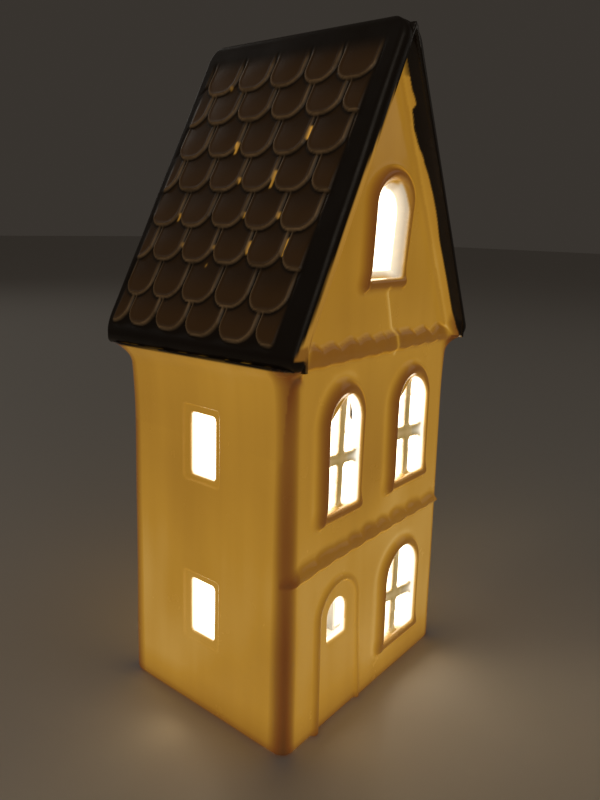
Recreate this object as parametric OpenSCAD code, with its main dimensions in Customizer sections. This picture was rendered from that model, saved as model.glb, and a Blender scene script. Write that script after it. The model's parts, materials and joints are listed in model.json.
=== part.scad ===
// Porcelain house lamp: a slip-cast house with a glazed shingle roof that stands over a small
// steel base carrying an E14 lampholder and a globe bulb. Millimetres, +Z up, front towards -Y,
// origin on the table under the centre of the roof.

/* [House] */
// Width of the walls, side to side
house_w = 102.4; // [98:0.2:110]
// Depth of the walls, front to back
house_d = 80.2; // [78:0.2:88]
// Height of the eaves above the table
eave_z = 139.2; // [137:0.2:142]
// How far each wall leans out from the eaves to the foot
draft = 1.9; // [0:0.1:2.4]
// Thickness of the cast porcelain wall
wall_t = 3.5; // [3:0.1:4]
// Radius of the upright corners
corner_r = 5; // [4:0.5:6]
// How far the side walls spread under the eaves
flare = 3.2; // [2:0.1:3.5]

/* [Roof] */
// Height of the ridge above the table
ridge_z = 251; // [246:1:256]
// Angle of the roof slopes
roof_pitch = 62.6; // [62.2:0.1:63.6]
// How far the roof stands out past the front and back walls
verge = 7.3; // [5:0.1:8]
// Thickness of the roof slopes
roof_t = 4; // [3.5:0.1:4.5]
// Radius of the rounded ridge
ridge_r = 3.6; // [3:0.1:4]
// Radius of the rounded eaves
eave_r = 4; // [3.5:0.1:4.5]
// Rows of shingles on each slope
shingle_rows = 8; // [6:1:8]
// Whole shingles in a full row
shingles_across = 5; // [4:1:5]

/* [Windows] */
// Width of an arched window's opening
arch_w = 17.4; // [16:0.2:19]
// Width of the raised rim round a window
rim_w = 4.5; // [3.6:0.1:4.8]
// How far the rim stands out of the wall
rim_h = 2.2; // [1.4:0.1:2.6]
// Thickness of the glazing bars
bar_t = 2.6; // [2:0.1:3]
// Width of the small side windows
side_win_w = 12.6; // [10:0.2:13]
// Height of the small side windows
side_win_h = 22.6; // [18:0.2:24]

/* [Base and lampholder] */
// Length of the base plate
plate_w = 88; // [84:1:90]
// Depth of the base plate
plate_d = 65; // [62:1:66]
// Height of the lampholder's bracket
bracket_h = 21; // [19:0.5:24]
// Outer radius of the lampholder
holder_r = 13.5; // [13:0.1:15]
// Bore radius of the cable inlet
inlet_r = 3.2; // [2.5:0.1:3.5]

/* [Bulb] */
// Radius of the globe
globe_r = 22.5; // [20:0.5:24]
// Length of the glass above its metal cap
globe_len = 50; // [48:1:54]

/* [Hidden] */
$fn = 48;
eps = 0.5;

// Roof slopes: the apex and the eaves where the flat slopes would meet unrounded
apex_z = ridge_z + ridge_r * (1 / cos(roof_pitch) - 1);
eave_x = (apex_z - eave_z) / tan(roof_pitch);
slope_len = eave_x / cos(roof_pitch);
roof_d = house_d + 2 * verge;
void_apex_z = apex_z - roof_t / cos(roof_pitch);
void_eave_z = void_apex_z - house_w / 2 * tan(roof_pitch);

// Shingle field on a slope: distances up the slope from the eaves, and along the ridge
field_low = 6.5;
field_high = slope_len - 12.8;
field_front = house_d / 2 - 2.9;
field_back = house_d / 2 + 1.3;
shingle_pitch = (field_front + field_back) / shingles_across;
row_pitch = (field_high - field_low) / shingle_rows;
shingle_t = 1.8;
shingle_gap = 0.7;
shingle_tilt = 5;
shingle_lift = 0.7;
field_sink = 0.9;

// Front wall layout: centres of the openings and the heights of their sills and crowns
left_win_x = -23.8;
right_win_x = 20.4;
sill_w = 1.5;
upper_sill = 86;
upper_crown = 128.9;
upper_cross = 105;
lower_sill = 15.8;
lower_crown = 55.9;
lower_cross = 35.2;
gable_win_w = arch_w - 1.4;
gable_sill = 165.4;
gable_crown = 200.6;
bar_setback = 0.8;
door_x = -23.1;
door_w = 27.7;
door_crown = 60.5;
door_roll = 3.4;
door_roll_h = 1.2;
door_sink = 0.6;
door_light_x = -24.3;
door_light_w = 12.4;
door_light_sill = 35.7;
door_light_crown = 51.3;
course_h = 4.8;
course_bumps = 9;
bump_r = 7.5;
bump_rise = 2.3;
course_t = 1.4;
course_end = 1.6;
upper_course_z = 139.2;
lower_course_z = 65.5;
cove_w = 10.5;

// Side wall layout: the middles of the two windows
side_win_y = -0.4;
side_win_z = [43.6, 107.6];
side_frame = 2.9;
side_frame_t = 0.9;

// Rounding of the foot, and the height over which the side walls flare
foot_round = 1.8;
flare_h = 26;

// Cord notch in the back wall's foot
notch_w = 13;
notch_z = 11;

// Base, from the table upwards
foot_h = 3;
foot_r = 4.5;
foot_x = 34;
foot_y = 24;
stem_r = 2;
plate_t = 2;
plate_top = foot_h + plate_t;
tab_w = 18;
tab_h = 17;
tab_t = 1.6;
tab_y = plate_d / 2 - tab_t;
inlet_z = notch_z;
inlet_len = 5;
grommet_r = 4.6;
grommet_lip = 1.4;
strip_t = 1.5;
bracket_d = 22;
bracket_half = 19;
bracket_foot = 12;
bracket_top = plate_top + bracket_h;
screw_x = bracket_half + bracket_foot / 2;
screw_r = 1.5;
screw_clear = 0.1;
screw_head_r = 2.9;
screw_head_t = 2;
screw_end = 0.8;
slot_w = 0.8;
screw_nut_r = 3.17;
screw_nut_t = 2.2;
thread_r = 5;
thread_bore = 3.6;
washer_t = 1;
washer_r = 8.4;
nut_t = 3;
nut_r = 8;

// Lampholder, stacked on the bracket
cap_z = bracket_top + washer_t;
cap_h = 16;
cap_floor = 5;
cap_seat_r = 8.6;
block_z = cap_z + 10;
block_h = 9;
block_bore = 1.6;
terminal_x = 7;
terminal_r = 1.5;
terminal_deep = 5;
terminal_head_r = 2.6;
terminal_head_t = 1.2;
block_top = block_z + block_h;
shell_r = 7;
shell_t = 0.5;
shell_h = 20;
shell_flange = 9.5;
shell_z = block_top;
holder_top = shell_z + shell_h + 2;
holder_skin = 1.8;
leaf_w = 4;
leaf_t = 0.5;
leaf_rise = 1.8;

// Bulb, standing on the centre contact
pip_z = block_top + leaf_rise + leaf_t;
pip_h = 1.4;
insul_h = 2.6;
bulb_cap_r = shell_r - 0.1;
bulb_cap_z = pip_z + pip_h;
bulb_cap_h = 18;
glass_z = bulb_cap_z + bulb_cap_h;
glass_t = 0.8;
neck_r = bulb_cap_r - 0.6;
globe_z = glass_z + globe_len - globe_r;
filament_len = 19;
filament_ring = 4.5;
wire_r = 0.35;
filament_z = globe_z - 12;

// ---------- outlines ----------

function arc(c, r, from, to, n) =
    [for (i = [0 : n]) c + r * [cos(from + (to - from) * i / n), sin(from + (to - from) * i / n)]];

function rounded_rect(w, d, r) = concat(
    arc([w / 2 - r, d / 2 - r], r, 0, 90, 6),
    arc([r - w / 2, d / 2 - r], r, 90, 180, 6),
    arc([r - w / 2, r - d / 2], r, 180, 270, 6),
    arc([w / 2 - r, r - d / 2], r, 270, 360, 6)
);

// The roof's end view: two straight slopes with a rounded ridge and rounded eaves
function roof_outline() =
    let (nose = eave_r / tan(roof_pitch / 2))
    concat(
        arc([eave_x - nose, eave_z + eave_r], eave_r, -90, 90 - roof_pitch, 8),
        arc([0, ridge_z - ridge_r], ridge_r, 90 - roof_pitch, 90 + roof_pitch, 8),
        arc([nose - eave_x, eave_z + eave_r], eave_r, 90 + roof_pitch, 270, 8)
    );

// The space under the roof, which the tops of the walls fill
function void_outline() = [
    [-house_w / 2, eave_z], [house_w / 2, eave_z], [house_w / 2, void_eave_z],
    [0, void_apex_z], [-house_w / 2, void_eave_z]
];

// How far the walls stand out at height z, because of their draft
function lean(z) = draft * (1 - z / eave_z);

// Rings of the wall's plan, from the rounded foot to the flared eaves: height, spread in X, spread in Y
function wall_rings() = concat(
    [for (a = [0 : 30 : 90])
        let (z = foot_round * (1 - cos(a)), out = lean(z) - foot_round * (1 - sin(a))) [z, out, out]],
    [for (a = [0 : 15 : 75])
        let (z = eave_z - flare_h * (1 - sin(a))) [z, lean(z) + flare * (1 - cos(a)) / (1 - cos(75)), lean(z)]],
    [[eave_z, flare, 0]]
);

// ---------- shared shapes ----------

// Rings of the hollow inside, which runs out through the foot and up to the ridge
function hollow_rings() = [[-eps, lean(-eps), lean(-eps)], [eave_z, 0, 0], [ridge_z, 0, 0]];

// Stacks rounded rectangles into one closed body, w by d plus each ring's own spread
module loft(rings, w, d, r) {
    all = [for (p = rings) [for (q = rounded_rect(w + 2 * p[1], d + 2 * p[2], r)) [q.x, q.y, p[0]]]];
    m = len(all[0]);
    polyhedron(
        points = [for (ring = all) each ring],
        faces = concat(
            [[for (i = [0 : m - 1]) i]],
            [[for (i = [m - 1 : -1 : 0]) (len(all) - 1) * m + i]],
            [for (k = [0 : len(all) - 2], i = [0 : m - 1]) [k * m + i, (k + 1) * m + i, k * m + (i + 1) % m]],
            [for (k = [0 : len(all) - 2], i = [0 : m - 1])
                [k * m + (i + 1) % m, (k + 1) * m + i, (k + 1) * m + (i + 1) % m]]
        )
    );
}

// Extrudes an X-Z outline along Y, from y0 to y1
module along_y(y0, y1) {
    translate([0, y1, 0]) rotate([90, 0, 0]) linear_extrude(y1 - y0) children();
}

// Arched opening, w wide, from its sill up to its crown
module arch(w, sill, crown) {
    translate([-w / 2, sill]) square([w, crown - sill - w / 2]);
    translate([0, crown - w / 2]) circle(w / 2);
}

// Raised rim round an arched opening in the front wall
module arch_rim(x, w, sill, crown) {
    out = max(lean(sill), 0);
    translate([x, 0, 0]) along_y(-house_d / 2 - out - rim_h, -house_d / 2 + wall_t / 2)
        arch(w + 2 * rim_w, sill - sill_w, crown + rim_w);
}

module arch_hole(x, w, sill, crown) {
    translate([x, 0, 0]) along_y(-house_d / 2 - draft - 2 * rim_h, -house_d / 2 + 2 * wall_t)
        arch(w, sill, crown);
}

// Upright and crossbar of a window, a little back from its rim
module glazing_bars(x, sill, crown, cross_z) {
    along_y(-house_d / 2 - rim_h / 3, -house_d / 2 + wall_t - bar_setback) {
        translate([x - bar_t / 2, sill - 1]) square([bar_t, crown - sill + 2]);
        translate([x - arch_w / 2 - 1, cross_z - bar_t / 2]) square([arch_w + 2, bar_t]);
    }
}

// String course across the front: a band with a scalloped top edge
module course(z) {
    span = house_w - 2 * course_end;
    pitch = span / course_bumps;
    along_y(-house_d / 2 - lean(z) - course_t, -house_d / 2 + wall_t / 2) intersection() {
        for (i = [0 : course_bumps - 1])
            translate([(i + 0.5) * pitch - span / 2, z + course_h + bump_rise - bump_r]) circle(bump_r);
        translate([-span / 2, z]) square([span, 2 * course_h]);
    }
}

// Places a child on the left slope: X runs up the slope from the eaves, Z out of it
module on_left_slope() {
    translate([-eave_x, 0, eave_z]) rotate([0, -roof_pitch, 0]) children();
}

module both_slopes() {
    children();
    mirror([1, 0, 0]) children();
}

// Hollow cove between the gable and the overhanging roof, on the left half
module gable_cove() {
    reach = verge - 0.6;
    drop = cove_w - roof_t;
    section = concat(
        [for (a = [0 : 15 : 90]) [-house_d / 2 - reach + reach * cos(a), -cove_w + drop * sin(a)]],
        [[-house_d / 2 - reach, 1 - roof_t], [eps - house_d / 2, 1 - roof_t], [eps - house_d / 2, -cove_w]]
    );
    intersection() {
        on_left_slope() rotate([90, 0, 90]) linear_extrude(slope_len + 20) polygon(section);
        along_y(-roof_d / 2, -house_d / 2 + eps) intersection() {
            polygon(void_outline());
            translate([-house_w, 0]) square([house_w, ridge_z]);
        }
    }
}

// One shingle: a plate with a rounded lower end, proud there and sunk at its top
module shingle() {
    w = shingle_pitch - shingle_gap;
    rotate([0, shingle_tilt, 0]) translate([0, 0, -shingle_t]) linear_extrude(shingle_t) {
        translate([w / 2, 0]) circle(w / 2);
        translate([w / 2, -w / 2]) square([row_pitch - w / 2 + 4.5, w]);
    }
}

module shingle_field(grow) {
    translate([field_low, -field_front, -2 * shingle_t])
        cube([field_high - field_low, field_front + field_back, grow]);
}

module shingles() {
    intersection() {
        for (row = [0 : shingle_rows - 1]) {
            shifted = (shingle_rows - 1 - row) % 2;
            for (i = [0 : shingles_across - 1 + shifted])
                translate([field_low + row * row_pitch, (i + 0.5 - shifted / 2) * shingle_pitch - field_front,
                    shingle_lift]) shingle();
        }
        shingle_field(4 * shingle_t);
    }
}

// ---------- porcelain ----------

module front_relief() {
    for (x = [left_win_x, right_win_x]) arch_rim(x, arch_w, upper_sill, upper_crown);
    arch_rim(right_win_x, arch_w, lower_sill, lower_crown);
    arch_rim(0, gable_win_w, gable_sill, gable_crown);
    course(upper_course_z);
    course(lower_course_z);
    door_moulding();
    both_slopes() gable_cove();
}

module front_openings() {
    for (x = [left_win_x, right_win_x]) arch_hole(x, arch_w, upper_sill, upper_crown);
    arch_hole(right_win_x, arch_w, lower_sill, lower_crown);
    arch_hole(0, gable_win_w, gable_sill, gable_crown);
}

module front_bars() {
    for (x = [left_win_x, right_win_x]) glazing_bars(x, upper_sill, upper_crown, upper_cross);
    glazing_bars(right_win_x, lower_sill, lower_crown, lower_cross);
}

// Rounded moulding round the door, which runs down to the foot
module door_moulding() {
    translate([door_x, 0, 0]) along_y(-house_d / 2 - draft - door_roll_h, -house_d / 2 + wall_t / 2)
        arch(door_w, foot_round, door_crown);
}

// The door's sunk panel and the arched light in it
module door_cuts() {
    outside = -house_d / 2 - draft - 2 * door_roll_h;
    translate([door_x, 0, 0]) along_y(outside, -house_d / 2 - lean(door_crown) + door_sink)
        arch(door_w - 2 * door_roll, -1, door_crown - door_roll);
    translate([door_light_x, 0, 0]) along_y(outside, -house_d / 2 + 2 * wall_t)
        arch(door_light_w, door_light_sill, door_light_crown);
}

// Side window: a shallow frame sunk in the wall with the opening inside it
module side_window(z) {
    outside = house_w / 2 + draft + flare;
    translate([-outside, side_win_y - side_win_w / 2 - side_frame, z - side_win_h / 2 - side_frame])
        cube([outside - house_w / 2 - lean(z) + side_frame_t,
            side_win_w + 2 * side_frame, side_win_h + 2 * side_frame]);
    translate([-outside, side_win_y - side_win_w / 2, z - side_win_h / 2])
        cube([outside - house_w / 2 + 2 * wall_t, side_win_w, side_win_h]);
}

module cord_notch() {
    along_y(house_d / 2 - 2 * wall_t, house_d / 2 + draft + 1) arch(notch_w, -1, notch_z + notch_w / 2);
}

module house_walls() {
    color("ivory") difference() {
        union() {
            loft(wall_rings(), house_w, house_d, corner_r);
            along_y(-house_d / 2, house_d / 2) polygon(void_outline());
            front_relief();
        }
        difference() {
            loft(hollow_rings(), house_w - 2 * wall_t, house_d - 2 * wall_t, corner_r - wall_t / 2);
            front_bars();
        }
        difference() {
            front_openings();
            front_bars();
        }
        door_cuts();
        both_slopes() for (z = side_win_z) side_window(z);
        cord_notch();
    }
}

module roof() {
    color([0.12, 0.09, 0.07]) difference() {
        union() {
            difference() {
                along_y(-roof_d / 2, roof_d / 2) polygon(roof_outline());
                both_slopes() on_left_slope() translate([0, 0, 2 * shingle_t - field_sink]) shingle_field(4 * shingle_t);
            }
            both_slopes() on_left_slope() shingles();
        }
        along_y(-roof_d / 2 - 1, roof_d / 2 + 1) polygon(void_outline());
    }
}

// ---------- base ----------

module base_plate() {
    color("silver") difference() {
        union() {
            translate([0, 0, foot_h]) linear_extrude(plate_t) polygon(rounded_rect(plate_w, plate_d, 5));
            translate([-tab_w / 2, tab_y, foot_h]) cube([tab_w, tab_t, tab_h]);
        }
        for (x = [-foot_x, foot_x], y = [-foot_y, foot_y])
            translate([x, y, 0]) cylinder(h = 10, r = stem_r);
        for (x = [-screw_x, screw_x]) translate([x, 0, 0]) cylinder(h = 10, r = screw_r + screw_clear);
        translate([0, tab_y - 1, inlet_z]) rotate([-90, 0, 0]) cylinder(h = 4, r = grommet_r);
    }
}

module plate_feet() {
    color("dimgray") for (x = [-foot_x, foot_x], y = [-foot_y, foot_y])
        translate([x, y, 0]) rotate_extrude() polygon([
            [0, 0], [foot_r - 0.6, 0], [foot_r, 0.6], [foot_r, foot_h], [stem_r, foot_h],
            [stem_r, plate_top], [stem_r + 1, plate_top], [stem_r + 0.4, plate_top + 1.2], [0, plate_top + 1.2]
        ]);
}

module cable_grommet() {
    flange = (inlet_len - tab_t) / 2;
    color("dimgray") translate([0, tab_y - flange, inlet_z]) rotate([-90, 0, 0]) difference() {
        union() {
            cylinder(h = inlet_len, r = grommet_r);
            cylinder(h = flange, r = grommet_r + grommet_lip);
            translate([0, 0, flange + tab_t]) cylinder(h = flange, r = grommet_r + grommet_lip);
        }
        translate([0, 0, -1]) cylinder(h = inlet_len + 2, r = inlet_r);
    }
}

module holder_bracket() {
    outline = [
        [bracket_half - strip_t, bracket_top - strip_t], [bracket_half - strip_t, plate_top],
        [bracket_half + bracket_foot, plate_top], [bracket_half + bracket_foot, plate_top + strip_t],
        [bracket_half, plate_top + strip_t], [bracket_half, bracket_top]
    ];
    mirrored = [for (i = [len(outline) - 1 : -1 : 0]) [-outline[i].x, outline[i].y]];
    color("lightgray") difference() {
        along_y(-bracket_d / 2, bracket_d / 2) polygon(concat(outline, mirrored));
        translate([0, 0, bracket_top - 5]) cylinder(h = 10, r = thread_r + screw_clear);
        for (x = [-screw_x, screw_x]) translate([x, 0, 0]) cylinder(h = 10, r = screw_r + screw_clear);
    }
}

module bracket_screws() {
    seat = plate_top + strip_t;
    color("gainsboro") for (x = [-screw_x, screw_x]) translate([x, 0, 0]) difference() {
        union() {
            translate([0, 0, screw_end]) cylinder(h = seat, r = screw_r);
            translate([0, 0, seat]) cylinder(h = screw_head_t, r = screw_head_r);
        }
        translate([-slot_w / 2, -screw_head_r, seat + screw_head_t / 2])
            cube([slot_w, 2 * screw_head_r, screw_head_t]);
    }
}

module bracket_nuts() {
    color("gainsboro") for (x = [-screw_x, screw_x]) translate([x, 0, foot_h - screw_nut_t]) difference() {
        cylinder(h = screw_nut_t, r = screw_nut_r, $fn = 6);
        translate([0, 0, -1]) cylinder(h = screw_nut_t + 2, r = screw_r);
    }
}

// ---------- lampholder ----------

module ring(z, h, outer, inner) {
    translate([0, 0, z]) difference() {
        cylinder(h = h, r = outer);
        translate([0, 0, -1]) cylinder(h = h + 2, r = inner);
    }
}

module nipple() {
    low = bracket_top - strip_t - nut_t - 1;
    color("gold") ring(low, cap_z + cap_floor - low, thread_r, thread_bore);
}

module nipple_nut() {
    color("silver") translate([0, 0, bracket_top - strip_t - nut_t]) difference() {
        cylinder(h = nut_t, r = nut_r, $fn = 6);
        translate([0, 0, -1]) cylinder(h = nut_t + 2, r = thread_r);
    }
}

module lock_washer() {
    color("silver") ring(bracket_top, washer_t, washer_r, thread_r + screw_clear);
}

module holder_cap() {
    color("whitesmoke") translate([0, 0, cap_z]) rotate_extrude() polygon([
        [thread_r, 0], [cap_seat_r, 0], [holder_r - 3, cap_floor], [holder_r, 7.5], [holder_r, cap_h],
        [holder_r - holder_skin, cap_h], [holder_r - holder_skin, 8.6], [holder_r - 4.6, 6.6], [thread_r, 6.6]
    ]);
}

module contact_block() {
    color("white") difference() {
        ring(block_z, block_h, holder_r - holder_skin - 0.2, block_bore);
        for (x = [-terminal_x, terminal_x]) translate([x, 0, block_z - 1])
            cylinder(h = terminal_deep + 1, r = terminal_r);
    }
}

module terminal_screws() {
    color("gold") for (x = [-terminal_x, terminal_x]) translate([x, 0, 0]) {
        translate([0, 0, block_z]) cylinder(h = terminal_deep, r = terminal_r);
        translate([0, 0, block_z - terminal_head_t]) cylinder(h = terminal_head_t, r = terminal_head_r);
    }
}

// Sprung bronze leaf that meets the bulb's centre contact
module centre_contact() {
    color("peru") along_y(-leaf_w / 2, leaf_w / 2) polygon([
        [-5.5, block_top], [-1.2, block_top], [-1.2, block_top + leaf_rise], [2.4, block_top + leaf_rise],
        [2.4, block_top + leaf_rise + leaf_t], [-1.7, block_top + leaf_rise + leaf_t],
        [-1.7, block_top + leaf_t], [-5.5, block_top + leaf_t]
    ]);
}

module screw_shell() {
    color("gold") {
        ring(shell_z, shell_h, shell_r + shell_t, shell_r);
        ring(shell_z, shell_t, shell_flange, shell_r);
    }
}

module holder_sleeve() {
    low = cap_z + cap_h;
    color("whitesmoke") translate([0, 0, low]) rotate_extrude() polygon([
        [holder_r - holder_skin, 0], [holder_r, 0], [holder_r, holder_top - low - 8],
        [holder_r - 1.6, holder_top - low - 6], [holder_r - 1.6, holder_top - low - 1.2],
        [holder_r - 2.8, holder_top - low], [shell_r + shell_t, holder_top - low],
        [shell_r + shell_t, holder_top - low - 6], [holder_r - 3.6, holder_top - low - 8],
        [holder_r - holder_skin, holder_top - low - 10]
    ]);
}

// ---------- bulb ----------

module bulb_cap() {
    color("silver") translate([0, 0, bulb_cap_z]) rotate_extrude() polygon([
        [2.6, 0], [3.6, 0], [bulb_cap_r, insul_h], [bulb_cap_r, bulb_cap_h], [bulb_cap_r - 0.4, bulb_cap_h],
        [bulb_cap_r - 0.4, insul_h + 0.2], [3.4, 0.4], [2.6, 0.4]
    ]);
}

module cap_insulator() {
    color("black") translate([0, 0, bulb_cap_z]) rotate_extrude() polygon([
        [1.2, 0.4], [3.4, 0.4], [5, insul_h * 0.7], [5, insul_h], [1.2, insul_h]
    ]);
}

module cap_contact() {
    color("silver") translate([0, 0, pip_z]) rotate_extrude() polygon([
        [0, 0], [1.6, 0], [2.4, 0.5], [2.6, pip_h], [1.2, pip_h], [1.2, pip_h + 2], [0, pip_h + 2]
    ]);
}

// Glass outline: a straight neck that swells into the globe, inset by t
function glass_outline(t) =
    let (swell = 6, side = acos((neck_r + swell) / (globe_r + swell)), c = [0, globe_z])
    concat(
        [[neck_r - t, glass_z]],
        arc([neck_r + swell, globe_z - (globe_r + swell) * sin(side)], swell + t, 180, 180 - side, 6),
        arc(c, globe_r - t, -side, 90, 14)
    );

module bulb_glass() {
    inner = glass_outline(glass_t);
    color("white", 0.4) rotate_extrude() polygon(concat(
        glass_outline(0), [for (i = [len(inner) - 1 : -1 : 0]) inner[i]]
    ));
}

module bulb_stem() {
    color("white", 0.5) translate([0, 0, glass_z]) rotate_extrude() polygon([
        [0, 0], [neck_r - glass_t, 0], [neck_r - glass_t, 0.8], [3, 3.4], [1.6, 6],
        [1.6, filament_z - glass_z - 2], [1, filament_z - wire_r - glass_z], [0, filament_z - wire_r - glass_z]
    ]);
}

// Thin crosses that hold the filaments at their two ends
module filament_wires() {
    color("silver") {
        for (z = [filament_z, filament_z + filament_len]) translate([0, 0, z]) for (a = [0, 90])
            rotate([0, 90, a]) translate([0, 0, -filament_ring]) cylinder(h = 2 * filament_ring, r = wire_r);
        translate([0, 0, filament_z]) cylinder(h = filament_len, r = 0.4);
    }
}

module led_filaments() {
    color("yellow") for (a = [0 : 90 : 270]) rotate([0, 0, a])
        translate([filament_ring + 0.8, 0, filament_z - 0.5]) cylinder(h = filament_len + 1, r = 0.8);
}

house_walls();
roof();
base_plate();
plate_feet();
cable_grommet();
holder_bracket();
bracket_screws();
bracket_nuts();
nipple();
nipple_nut();
lock_washer();
holder_cap();
contact_block();
centre_contact();
terminal_screws();
screw_shell();
holder_sleeve();
bulb_cap();
cap_insulator();
cap_contact();
bulb_glass();
bulb_stem();
filament_wires();
led_filaments();
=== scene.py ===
import json
import math

import bpy
import numpy as np
from mathutils import Matrix, Vector


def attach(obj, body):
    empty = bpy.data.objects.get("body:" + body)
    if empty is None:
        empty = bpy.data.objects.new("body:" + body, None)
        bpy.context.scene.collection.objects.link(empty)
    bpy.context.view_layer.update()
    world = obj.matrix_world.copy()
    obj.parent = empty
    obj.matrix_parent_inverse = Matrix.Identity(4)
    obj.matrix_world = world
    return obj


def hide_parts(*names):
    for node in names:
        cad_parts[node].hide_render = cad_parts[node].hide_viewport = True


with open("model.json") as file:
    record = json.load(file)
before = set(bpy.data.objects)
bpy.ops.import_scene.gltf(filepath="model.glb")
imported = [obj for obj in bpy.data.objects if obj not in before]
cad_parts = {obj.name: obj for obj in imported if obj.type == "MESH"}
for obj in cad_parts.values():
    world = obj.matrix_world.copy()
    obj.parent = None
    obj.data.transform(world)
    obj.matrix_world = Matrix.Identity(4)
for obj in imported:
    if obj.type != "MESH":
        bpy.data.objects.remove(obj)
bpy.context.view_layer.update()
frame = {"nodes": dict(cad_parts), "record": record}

MM = 0.001
F32 = np.float32
NODE = frame["nodes"]

# ---------------------------------------------------------------- the house, in millimetres
PITCH_DEG = 62.6
PITCH = math.radians(PITCH_DEG)
SN, CS = math.sin(PITCH), math.cos(PITCH)
EAVE_Z, RIDGE_Z, RIDGE_R, EAVE_R = 139.2, 251.0, 3.6, 4.0
APEX = RIDGE_Z + RIDGE_R * (1 / CS - 1)
# shingles are placed by their distance up the slope from this height
START_Z = 141.6
START_X = (APEX - START_Z) * CS / SN
SLOPE = START_X / CS
# walls: half width and half depth at the eaves, and how much further out they stand at the foot
HALF_W, HALF_D, DRAFT = 51.2, 40.1, 1.9
# roof: its front and back ends, and its half width over the eaves
FRONT_END, BACK_END, ROOF_HALF_W = -46.2, 47.4, 57.6
WALL_T, ROOF_T, CORNER_R = 3.5, 4.0, 5.0
# the front end's eave is DROOP higher than the back's, over a length of DROOP_SPAN;
# the back verge leans in by VERGE_LEAN for each millimetre of height
DROOP, DROOP_SPAN, VERGE_LEAN = 1.8, 92.4, 0.0268
# the walls' flare under the eaves: where it starts, its height, how far it comes out,
# and the sine and cosine of the arc it covers, 75 degrees
FLARE_Z, FLARE_H, FLARE_OUT, FLARE_SIN, FLARE_COS = 110, 31.6, 3.0, 0.966, 0.259
# a point ahead of the first belongs to the front wall, and ahead of the second to its outer skin;
# one behind the third belongs to the back wall
FRONT_WALL_Y, FRONT_SKIN_Y, BACK_WALL_Y = -30, -37, 30


def cap(a, b, r):
    """Both shapes at once, with the outer edge between them rounded by r."""
    return np.minimum(np.maximum(a, b), -r) + np.hypot(np.maximum(a + r, 0), np.maximum(b + r, 0))


def weld(a, b, r):
    """Either shape, with the hollow between them filled to radius r."""
    return np.maximum(np.minimum(a, b), r) - np.hypot(np.maximum(r - a, 0), np.maximum(r - b, 0))


def step(v, lo, hi):
    """A smooth step from 0 at lo to 1 at hi."""
    t = np.clip((v - lo) / (hi - lo), 0, 1)
    return t * t * (3 - 2 * t)


def lumps(x, y, z):
    """The slow unevenness of a slip-cast skin, about -1 to 1."""
    return (np.sin(x * 0.13 + 1.7 * np.sin(z * 0.041) + 0.6) * np.sin(z * 0.087 + y * 0.11 + 2.1)
            + 0.6 * np.sin(x * 0.061 - z * 0.152 + y * 0.07) * np.sin(y * 0.19 + z * 0.033 + 0.4)) / 1.5


def under(x, z):
    """Depth below the flat of the nearer roof slope."""
    return APEX * CS - SN * np.abs(x) - CS * z


def forward(y):
    """0 at the roof's back end, 1 at its front end."""
    return np.clip(0.5 - y / DROOP_SPAN, 0, 1)


def eave(y):
    """Height of the eave, which droops a little towards the back."""
    return EAVE_Z + DROOP * forward(y)


def ahead(y, z):
    """Distance beyond the roof's ends; the back one leans in towards the ridge."""
    return np.maximum(FRONT_END - y, y - BACK_END + VERGE_LEAN * (z - EAVE_Z))


def roof_end(x, z, r, low):
    """Distance from the roof's end view above height low, its corners rounded by r."""
    ax = np.abs(x)
    z0 = low + r
    x0 = (APEX * CS - r - CS * z0) / SN
    length = x0 / CS
    t = np.clip(SN * (z - z0) - CS * (ax - x0), 0, length)
    near = np.minimum(np.hypot(ax - x0 + CS * t, z - z0 - SN * t),
                      np.hypot(np.maximum(ax - x0, 0), z - z0))
    inside = (SN * ax + CS * z < APEX * CS - r) & (z > z0)
    return np.where(inside, -near, near) - r


def lean(z):
    """How far the walls stand out at height z, because of their draft."""
    return DRAFT * np.clip(1 - z / EAVE_Z, 0, 1.01)


def flare(z):
    """How far the walls curve out under the eaves at height z."""
    t = np.clip((z - FLARE_Z) / FLARE_H, 0, 1) * FLARE_SIN
    return FLARE_OUT * (1 - np.sqrt(1 - t * t)) / (1 - FLARE_COS)


def cavity(x, y, z):
    """Distance from the hollow inside: negative in it."""
    out = lean(z) - WALL_T
    return cap(np.abs(x) - HALF_W - out, np.abs(y) - HALF_D - out, 3)


def shell(x, y, z):
    """The walls' outside, with no reliefs or openings."""
    plan = cap(np.abs(x) - HALF_W - lean(z) - flare(z), np.abs(y) - HALF_D - lean(z), CORNER_R)
    plan = plan - 0.14 * lumps(x, y, z)
    body = np.maximum(plan, ROOF_T - under(x, z))
    void = np.maximum(ROOF_T - under(x, z), np.abs(x) - HALF_W)
    low = eave(y)
    # the walls' lip ends just behind the roof's end
    roof = np.maximum(cap(roof_end(x, z, EAVE_R, low), ahead(y, z) + 0.15, 3), -void)
    whole = weld(body, roof, 7.2)
    space = np.minimum(void, z - low)
    # the walls' top is let a little way into the roof's slab
    whole = np.maximum(whole, space - 1.2)
    return cap(whole, -z, 1.6)


# ---------------------------------------------------------------- reliefs and openings
# rolls round the openings: the line's left and right at the foot, the lean of each, sill, spring line
# and crown, then the roll's radius on the left and on the right
ROLLS = {
    "upper_left": (-34.65, -13.4, 0.0, 0.04, 85.9, 119.0, 131.0, 2.45, 1.25),
    "upper_right": (9.0, 34.2, 0.0, 0.0, 85.9, 119.0, 131.1, 2.45, 1.4),
    "lower_right": (7.6, 33.7, 0.0, 0.0, 15.4, 46.5, 58.1, 2.1, 1.4),
    "gable": (-13.65, 9.7, 0.052, 0.15, 165.3, 192.0, 202.6, 2.3, 0.95),
}
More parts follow.
